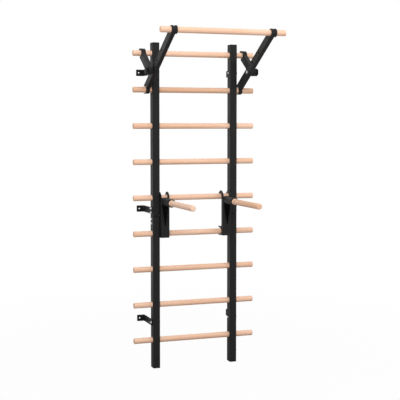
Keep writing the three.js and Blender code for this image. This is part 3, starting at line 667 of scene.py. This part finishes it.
# Pull-up arms: box-section steel arms that stand on the eighth rung with a claw and lean out to a
# collar for the bar. They are bored for the clamp bolt, with two more holes for other angles.
arm_tilt = math.radians(30.8)
arm_centre = 0.347
arm_width = 0.028
arm_half_depth = 0.028
arm_edge = 0.0026
arm_rung = np.array((rung_depth, rung_heights[7]))
arm_out = np.array((-math.cos(arm_tilt), math.sin(arm_tilt)))
arm_up = np.array((math.sin(arm_tilt), math.cos(arm_tilt)))
arm_above_rung = 0.018
arm_bar = np.array((0.697, -0.0085))
arm_collar = 0.028
arm_shoulder = 0.687
arm_holes = (0.215, 0.335, 0.455)
arm_hole = 0.0057
arm_wall = 0.0025
arm_hollow = 0.020
hole_rim = arm_hole + 0.85 * arm_edge
hole_outer = arm_hole + 1.1 * arm_edge
rim_depth = 0.3 * arm_edge
claw_mouth = 0.021
claw_outer = 0.027
claw_reach = 0.040
claw_flare = 0.004
claw_chamfer = (0.0015, 0.002)
bar_hole = 0.0203
ear_gap = 0.006
ear_wall = 0.0003
notch_floor = 0.0209
band_half_width = 0.020
band_edge = 0.0018
band_inner = 0.0202
band_outer = 0.0283
band_floor = 0.0211


def arm_place(local):
    """From the arm's own (out along it, above its middle line) to (y, z) in the room."""
    local = np.asarray(local)
    return arm_rung + np.outer(local[:, 0], arm_out) + np.outer(local[:, 1] + arm_above_rung, arm_up)


tip_top = ((arm_half_depth + arm_above_rung) * arm_up[0] - claw_reach) / math.cos(arm_tilt)
collar_rise = math.degrees(math.acos((arm_shoulder - arm_bar[0]) / arm_collar))
collar_fall = math.degrees(math.asin((-arm_half_depth - arm_bar[1]) / arm_collar))
claw_start = math.degrees(math.asin((arm_above_rung - arm_half_depth) / claw_outer))
claw_end = -90 - math.degrees(arm_tilt)
arm_back = arm_place(np.vstack([
    [(tip_top, arm_half_depth), (arm_shoulder, arm_half_depth)],
    arc(arm_bar, arm_collar, collar_rise, -180 - collar_fall, 48),
    arc((0, -arm_above_rung), claw_outer, claw_start, claw_end, 20)]))
claw_inside = arm_rung + np.vstack([
    [(claw_reach - claw_chamfer[0], -claw_outer), (claw_reach, claw_chamfer[1] - claw_outer),
     (claw_reach, -claw_mouth)],
    arc((0, 0), claw_mouth, 270, 90, 30),
    [(claw_reach, claw_mouth + claw_flare)]])
arm_bores = [arm_place(circle(arm_bar, bar_hole, 64))]
arm_bores += [arm_place(circle((reach, 0), arm_hole, 28)) for reach in arm_holes]
bar_place = arm_place([arm_bar])[0]
arm_plate, arm_faces = pressed_plate(
    np.vstack([arm_back, claw_inside]), arm_bores, arm_width, arm_edge,
    layers=(-ear_gap, ear_wall - ear_gap, ear_gap - ear_wall, ear_gap))

# The top of the collar is notched down to the bar between two ears.
from_bar = arm_plate[:, :2] - bar_place
notched = (np.abs(arm_plate[:, 2]) < ear_gap - ear_wall / 2) & (from_bar[:, 1] > np.abs(from_bar[:, 0]))
drawn_in = from_bar * notch_floor / np.linalg.norm(from_bar, axis=1, keepdims=True) - from_bar
arm_plate[:, :2] += np.where(notched[:, None], drawn_in, 0)

# Behind its holes the arm is hollow: past the rim a hole opens out into the box, inside the wall.
box_half = arm_width / 2 - arm_wall
for reach in arm_holes:
    from_hole = arm_plate[:, :2] - arm_place([(reach, 0)])
    span = np.linalg.norm(from_hole, axis=1, keepdims=True)
    depth = arm_width / 2 - np.abs(arm_plate[:, 2:])
    around_hole = span < hole_outer
    rim = around_hole & (depth > 10 * hair) & (depth < rim_depth)
    hollow = around_hole & (depth > rim_depth)
    wider = np.where(hollow, arm_hollow, np.where(rim, hole_rim, span))
    arm_plate[:, :2] += from_hole * (wider / np.maximum(span, hair) - 1)
    arm_plate[:, 2:] = np.where(hollow, np.clip(arm_plate[:, 2:], -box_half, box_half), arm_plate[:, 2:])
arm_form = np.column_stack([arm_plate[:, 2] + arm_centre, arm_plate[:, :2]])


def eased_ring(corners, radius):
    """Closed profile with eased corners, its first point repeated at the end, so that turning closes it."""
    ring = eased(corners, radius, closed=True)
    return np.vstack([ring, ring[:1]])


def notched_band(around=96):
    """Band round the bar, its eased profile (radius, along) swept about X. Between the ears, and within 45
    degrees of straight up, its outer radius drops to the floor of the notch."""
    corners = [(band_inner, -band_half_width), (band_outer, -band_half_width), (band_outer, -ear_gap),
               (band_outer, ear_wall - ear_gap), (band_outer, ear_gap - ear_wall), (band_outer, ear_gap),
               (band_outer, band_half_width), (band_inner, band_half_width)]
    ease = (band_edge / 2, band_edge, 0, 0, 0, 0, band_edge, band_edge / 2)
    radius, along = eased_ring(corners, ease).T
    t = once_round(around)
    between = (np.abs(along) < ear_gap - ear_wall / 2) & (radius > band_inner)
    notch = between[:, None] & (np.sin(t) > np.abs(np.cos(t)))
    return swept(np.where(notch, band_floor, radius[:, None]), along, (arm_centre, *bar_place))


arm_form, arm_faces = together((arm_form, arm_faces), notched_band())
flatten_normals(add_pair(
    "pull_up_arm", "box", arm_form, arm_faces, "pull_up_unit", powder_coat, "black_steel"))

# Pull-up bar: a turned beech rod like the rungs, a little shorter. It lies in the collars of both arms
# and sticks out a little past them.
bar_half_length = 0.4375
bar, faces = rod(bar_half_length, (0, *bar_place))
add_piece("pull_up_bar_rod", bar, faces, "pull_up_unit", beech_rod, "beech", "pull_up_bar", sharp=wood_sharp)

# Pull-up struts: short box-section braces that hook round the top rung and come down to the arms,
# where a clamp bolt goes through both. The hook's mouth opens down and towards the wall.
strut_centre = 0.3796
strut_width = 0.032
strut_edge = 0.0022
strut_rung = np.array((rung_depth, rung_heights[8]))
strut_drop = 0.009
hook_outer = 0.032
hook_grip = 0.0204
hook_mouth = 0.012
hook_fall = math.radians(30)
nose_reach = 0.046
nose_top, nose_bottom = 0.012, -0.010
clamp_place = arm_place([(arm_holes[0], 0)])[0]
strut_span = strut_rung - clamp_place
strut_length = math.sqrt(strut_span @ strut_span - strut_drop ** 2)
strut_tilt = math.atan2(strut_span[1], strut_span[0]) - math.atan2(strut_drop, strut_length)
strut_in = np.array((math.cos(strut_tilt), math.sin(strut_tilt)))
strut_up = np.array((-math.sin(strut_tilt), math.cos(strut_tilt)))
strut_end = (-strut_length, -strut_drop)
mouth_angle = -hook_fall - strut_tilt


def strut_place(local):
    """From the strut's own (towards the wall along it, above it) to (y, z) in the room, from the top rung."""
    local = np.asarray(local)
    return strut_rung + np.outer(local[:, 0], strut_in) + np.outer(local[:, 1], strut_up)


def mouth_corner(radius, offset):
    """The angle, in degrees, at which one edge of the hook's mouth crosses a circle round the rung."""
    return math.degrees(mouth_angle + math.asin(offset / radius))


def hook_angle(height):
    """The angle, in degrees, at which the hook's outer circle is this high."""
    return math.degrees(math.asin(height / hook_outer))


strut_outline = strut_place(np.vstack([
    [(nose_reach, nose_bottom), (nose_reach, nose_top)],
    arc((0, 0), hook_outer, hook_angle(nose_top), 180 - hook_angle(arm_half_depth - strut_drop), 22),
    arc(strut_end, arm_half_depth, 90, 270, 32),
    [(0, -arm_half_depth - strut_drop)],
    arc((0, 0), hook_outer, -90, mouth_corner(hook_outer, -hook_mouth), 3),
    arc((0, 0), hook_grip, mouth_corner(hook_grip, -hook_mouth),
        mouth_corner(hook_grip, hook_mouth) - 360, 44),
    arc((0, 0), hook_outer, mouth_corner(hook_outer, hook_mouth), hook_angle(nose_bottom), 6)]))
strut_bore = strut_place(circle(strut_end, arm_hole, 28))
strut_plate, strut_faces = pressed_plate(strut_outline, [strut_bore], strut_width, strut_edge)
strut_form = np.column_stack([strut_plate[:, 2] + strut_centre, strut_plate[:, :2]])
flatten_normals(add_pair(
    "pull_up_strut", "box", strut_form, strut_faces, "pull_up_unit", powder_coat, "black_steel"))

# Clamp bolts and spacers: a zinc-plated bolt with a low round head goes through arm and strut, with a
# plastic washer between the two boxes.
clamp_head_face = 0.3327
clamp_radius = 0.005
clamp_tip = -0.0732
clamp_crown = [(0, 0.005), (0.0045, 0.0048), (0.0082, 0.0038), (0.0104, 0.002), (0.011, 0.0008), (0.011, 0)]
clamp_shank = [(clamp_radius, 0), (clamp_radius, clamp_tip), (0, clamp_tip)]
spacer_start = 0.3613
spacer_inner, spacer_outer = 0.0055, 0.015
spacer_thickness = 0.002
spacer_ease = 0.0005
spacer_ring = [(spacer_inner, 0), (spacer_outer, 0), (spacer_outer, spacer_thickness),
               (spacer_inner, spacer_thickness)]
bolt, faces = turned(clamp_crown + clamp_shank, (clamp_head_face, *clamp_place), (-1, 0, 0))
add_pair("clamp_bolt", "zinc", bolt, faces, "pull_up_unit", zinc, "zinc_bolts")
washer, faces = turned(eased_ring(spacer_ring, spacer_ease), (spacer_start, *clamp_place))
add_pair("spacer_washer", "ring", washer, faces, "pull_up_unit", moulded, "black_plastic")

# Star knobs: moulded plastic heads with five lobes, a round hub and a dished top, screwed on the clamp
# bolts by hand.
knob_face = 0.3959
knob_hub = 0.013
knob_hub_height = 0.004
knob_under = 0.024
knob_radius = 0.029
knob_rim_start, knob_rim_end = 0.0075, 0.0135
knob_shoulder = 0.023
knob_height = 0.017
dish_rim, dish_floor = 0.011, 0.0085
dish_height = 0.0154
knob_ease = 0.0022
knob_sharp = 60
lobes = 5
lobe_depth = 0.006
lobe_power, hub_power = 1.3, 0.7
knob_profile = eased([
    (0, 0), (knob_hub, 0), (knob_hub, knob_hub_height), (knob_under, knob_hub_height),
    (knob_radius, knob_rim_start), (knob_radius, knob_rim_end), (knob_shoulder, knob_height),
    (dish_rim, knob_height), (dish_floor, dish_height), (0, dish_height)], knob_ease)


def lobed(profile, start, around=150):
    """Lobed form about X: radius * (1 - share * wave), with wave = ((1 - cos(lobes * t)) / 2) ^ lobe power.
    The share grows with (radius from the hub to the rim) ^ hub power, so that the hub stays round."""
    radius, along = profile.T
    wave = (0.5 - 0.5 * np.cos(lobes * once_round(around))) ** lobe_power
    outwards = np.clip((radius - knob_hub) / (knob_radius - knob_hub), 0, 1)
    share = lobe_depth / knob_radius * outwards ** hub_power
    return swept(radius[:, None] * (1 - share[:, None] * wave), along, start)


star, faces = lobed(knob_profile, (knob_face, *clamp_place))
add_pair("star_knob", "star", star, faces, "knob_{side}", moulded, "black_plastic", sharp=knob_sharp)

# Dip hangers: each is one blank of steel plate with two hooks and two claws cut in its ends, folded
# into a channel. The hooks go over the fifth rung and the claws close on the fourth from the front.
dip_centre = 0.233
dip_rung = np.array((rung_depth, rung_heights[4]))
dip_half_width = 0.0315
dip_sheet = 0.005
dip_edge = 0.0011
dip_fold = 0.006
dip_front = -0.057
dip_hook = 0.050
dip_hook_middle = -0.007
dip_hook_start = 3
dip_grip = 0.0204
dip_mouth = 0.021
dip_mouth_centre = (0.0007, -0.253)
dip_lip = 0.0048
dip_reach = 0.042
dip_prong = 0.0045
dip_prong_top = -0.217
dip_front_top = 0.002
dip_side_bottom = -0.2799
dip_back = dip_hook_middle + dip_hook

side_start = dip_front + dip_fold
hook_stop = math.degrees(math.acos((side_start - dip_hook_middle) / dip_hook))
hook_tip = (dip_back - dip_grip) / 2
bend = np.linspace(0, 1, 9)[:, None]
inner_sweep = ((1 - bend) ** 2 * (0, dip_prong_top) + 2 * bend * (1 - bend) * (-dip_grip, dip_prong_top)
               + bend ** 2 * (-dip_grip, dip_prong_top + dip_grip))
dip_side = np.vstack([
    [(side_start, dip_side_bottom)],
    arc((dip_reach - dip_lip, dip_mouth_centre[1] - dip_mouth - dip_lip), dip_lip, -90, 90, 12),
    arc(dip_mouth_centre, dip_mouth, 270, 90, 30),
    arc((dip_reach - dip_prong, dip_prong_top - dip_prong), dip_prong, -90, 90, 12),
    inner_sweep,
    arc((0, 0), dip_grip, 180, 0, 30),
    arc((dip_grip + hook_tip, dip_hook_middle), hook_tip, 180, 360, 18),
    arc((dip_hook_middle, dip_hook_middle), dip_hook, dip_hook_start, hook_stop, 34)])
fold_run = (dip_fold - dip_sheet / 2) * quarter_turn
side_run = dip_back - side_start
front_run = 2 * (dip_half_width - dip_fold)
left_fold = side_run + fold_run + front_run
blank = np.vstack([
    dip_side + (left_fold + fold_run - side_start, 0),
    [(left_fold, dip_front_top), (side_run + fold_run, dip_front_top)],
    (dip_side * (-1, 1) + (dip_back, 0))[::-1]])
fold_cuts = np.linspace(0, fold_run, 8)
dip_plate, dip_faces = pressed_plate(
    blank, [], dip_sheet, dip_edge, cuts=np.concatenate([side_run + fold_cuts, left_fold + fold_cuts]))
dip_bend = (fold_run, -quarter_turn)
dip_folds = [(side_run, 0), dip_bend, (front_run, 0), dip_bend, (side_run, 0)]
dip_folded = folded(dip_plate, dip_folds, (dip_half_width - dip_sheet / 2, dip_back), -quarter_turn)
flatten_normals(add_pair("dip_hanger", "folded", dip_folded + (dip_centre, *dip_rung), dip_faces,
                         "dip_unit_{side}", powder_coat, "black_steel"))

# Dip sockets: steel tube welded square to the front of each hanger and coated with it; the weld shows
# as a bead round its root.
socket_drop = 0.027
socket_axis = np.array((dip_centre, rung_depth, rung_heights[4] - socket_drop))
socket_outer = 0.029
socket_inner = 0.026
socket_start = 0.0573
socket_end = 0.1957
socket_ease = 0.0008
weld_bead = 0.0032
weld_shares = np.array(((1, 0), (0.8, 0.5), (0.3, 0.9), (0, 1.2)))
tube_around = 84
socket_ring = np.vstack([
    [(socket_inner, socket_start)], (socket_outer, socket_start) + weld_bead * weld_shares,
    [(socket_outer, socket_end), (socket_inner, socket_end)]])
tube, faces = turned(eased_ring(socket_ring, socket_ease), socket_axis, (0, -1, 0), tube_around)
add_pair("dip_socket", "tube", tube, faces, "dip_unit_{side}", powder_coat, "black_steel")

# Dip gussets: sheet folded to a ridge, from a point on the hanger's front up to the underside of the
# socket, welded along both edges. They take the flat black, which is painted shade under the socket.
gusset_apex = -0.202
gusset_top = -0.027
gusset_half = 0.029
gusset_out = 0.070
gusset_sheet = 0.003
weld_gap = 0.0003
ridge_ease = 0.10


def ridged(across_steps=41, along_steps=40):
    """Folded gusset: straight lines run from the apex to a V with a rounded ridge,
    (half * s, -out * (1 - ridge(s))), with ridge(s) = (sqrt(s^2 + e^2) - e) / (sqrt(1 + e^2) - e); each line
    stops where it meets the socket's underside."""
    s, e = np.linspace(-1, 1, across_steps), ridge_ease
    ridge = (np.sqrt(s ** 2 + e ** 2) - e) / (math.sqrt(1 + e ** 2) - e)
    rise = gusset_top - gusset_apex
    way = np.column_stack([gusset_half * s, -gusset_out * (1 - ridge), np.full_like(s, rise)])
    a = way[:, 0] ** 2 + way[:, 2] ** 2
    b = way[:, 2] * rise
    c = rise ** 2 - (socket_outer + weld_gap) ** 2
    stop = (b - np.sqrt(np.maximum(b ** 2 - a * c, 0))) / a
    k = np.linspace(0, 1, along_steps)[:, None, None]
    points = np.array((0, dip_front - weld_gap, gusset_apex)) + way * stop[:, None] * k
    index = np.arange(along_steps * across_steps).reshape(along_steps, across_steps)
    faces = np.stack([index[:-1, :-1], index[:-1, 1:], index[1:, 1:], index[1:, :-1]], -1).reshape(-1, 4)
    return points.reshape(-1, 3), faces


form, faces = ridged()
thicken(add_pair("dip_gusset", "ridge", form + (dip_centre, *dip_rung), faces, "dip_unit_{side}", shade_black,
                 "black_steel", turn_out=False), gusset_sheet)

# Dip bushes: moulded plastic sleeves, pushed into the sockets. They fill the tube and end in a flange
# at its mouth.
bush_inner = 0.0203
bush_outer = 0.0257
bush_shoulder = 0.196
bush_mouth = 0.200
bush_ring = [(bush_inner, socket_start), (bush_outer, socket_start), (bush_outer, bush_shoulder),
             (socket_outer, bush_shoulder), (socket_outer, bush_mouth), (bush_inner, bush_mouth)]
bush_ease = (0.0005, 0.0005, 0.0001, 0.0012, 0.0014, 0.0008)
sleeve, faces = turned(eased_ring(bush_ring, bush_ease), socket_axis, (0, -1, 0), tube_around)
add_pair("dip_bush", "sleeve", sleeve, faces, "dip_unit_{side}", moulded, "black_plastic")

# Dip handles: turned beech bars pushed into the bushes up to a bead with a fine groove behind it, with
# well rounded ends for the hands. The left one is coloured paler than the right one, and paler on its end
# faces than on its sides.
handle_radius = 0.020
handle_end = 0.648
bead_start = 0.2003
bead_height = 0.002
bead_length = 0.008
bead_end = bead_start + bead_length
bead_groove = 0.0012
groove_length = 0.004
handle_ring = [
    (0, socket_start), (handle_radius, socket_start), (handle_radius, bead_start),
    (handle_radius + bead_height, bead_start), (handle_radius + bead_height, bead_end - bead_height),
    (handle_radius - bead_groove, bead_end), (handle_radius, bead_end + groove_length),
    (handle_radius, handle_end), (0, handle_end)]
handle_ease = (0, 0.001, 0.0002, 0.0012, 0.0012, 0.0008, 0.0012, 0.0075, 0)
handle_tones = {"left": {"Pale": (0.88, 0.66, 0.53, 1), "End grain": -0.2},
                "right": {"Pale": (0.82, 0.57, 0.42, 1), "End grain": 0.05}}
bar, faces = turned(eased(handle_ring, handle_ease), socket_axis, (0, -1, 0))
for label, side in sides.items():
    name = f"dip_handle_{label}"
    wood = beech_finish(f"beech_along_handle_{label}", (0, 0, -quarter_turn), (0, 1, 0), handle_tones[label])
    add_piece(f"{name}_bar", bar * (side, 1, 1), faces, f"dip_unit_{label}", wood, "beech", name,
              sharp=wood_sharp)

# Studio: a plain pale floor that fades out into a white surround, soft light from a large panel in
# front, a weaker one from the right, and the camera at the photograph's angle.
white = (1, 1, 1, 1)
room_light = 0.66
floor_half = 9.0
floor_grey = (0.45, 0.45, 0.45, 1)
floor_glow = 0.97
fade_start, fade_end = 1.2, 4.0
light_target = (0, -0.2, 1.2)

world = bpy.data.worlds.new("white_surround")
bpy.context.scene.world = world
world.use_nodes = True
sky = world.node_tree
sky.nodes.clear()
rays = node(sky, "LightPath").outputs
seen = reckon(sky, "MAXIMUM", rays["Is Camera Ray"], rays["Is Glossy Ray"])
seen = reckon(sky, "MAXIMUM", seen, rays["Is Transmission Ray"])
ambient = node(sky, "Background", {"Color": white, "Strength": room_light})
backdrop = node(sky, "Background", {"Color": white, "Strength": 1.0})
mixed = node(sky, "MixShader", {0: seen, 1: ambient.outputs[0], 2: backdrop.outputs[0]})
node(sky, "OutputWorld", {"Surface": mixed.outputs[0]})

floor_mesh = bpy.data.meshes.new("floor")
floor_corners = floor_half * np.array(((-1, -1, 0), (1, -1, 0), (1, 1, 0), (-1, 1, 0)))
floor_mesh.from_pydata(floor_corners.tolist(), [], [(0, 1, 2, 3)])
floor = bpy.data.objects.new("floor", floor_mesh)
bpy.context.scene.collection.objects.link(floor)
pale = bpy.data.materials.new("pale_floor")
pale.use_nodes = True
ground = pale.node_tree
ground.nodes.clear()
away = node(ground, "VectorMath", {0: on_piece(ground)}, operation="LENGTH").outputs["Value"]
fade = ranged(ground, away, fade_start, fade_end)
matt = node(ground, "BsdfDiffuse", {"Color": floor_grey})
bright = node(ground, "Emission", {"Color": white, "Strength": 1.0})
lit = reckon(ground, "MULTIPLY", node(ground, "LightPath").outputs["Is Camera Ray"], floor_glow)
glow = node(ground, "MixShader", {0: lit, 1: matt.outputs[0], 2: bright.outputs[0]})
gone = node(ground, "BsdfTransparent")
surface = node(ground, "MixShader", {0: fade, 1: glow.outputs[0], 2: gone.outputs[0]})
node(ground, "OutputMaterial", {"Surface": surface.outputs[0]})
floor_mesh.materials.append(pale)

panels = {"front_panel": ((-1.5, -3.9, 4.7), 3.2, 162), "side_panel": ((4.2, -2.2, 3.0), 2.2, 80)}
for name, (place, size, power) in panels.items():
    lamp = bpy.data.lights.new(name, "AREA")
    lamp.size, lamp.energy = size, power
    panel = bpy.data.objects.new(name, lamp)
    panel.location = place
    x, y, z = np.subtract(light_target, place)
    panel.rotation_euler = (math.atan2(math.hypot(x, y), -z), 0, math.atan2(-x, y))
    bpy.context.scene.collection.objects.link(panel)

lens = bpy.data.cameras.new("camera")
lens.lens = 89.97
lens.sensor_width = 36
lens.shift_y = -0.03
camera = bpy.data.objects.new("camera", lens)
camera.location = (-2.3719, -6.9175, 1.7305)
camera.rotation_euler = (math.radians(86.35), 0, math.radians(-19.765))
bpy.context.scene.collection.objects.link(camera)
bpy.context.scene.camera = camera
bpy.context.scene.view_settings.view_transform = "Standard"
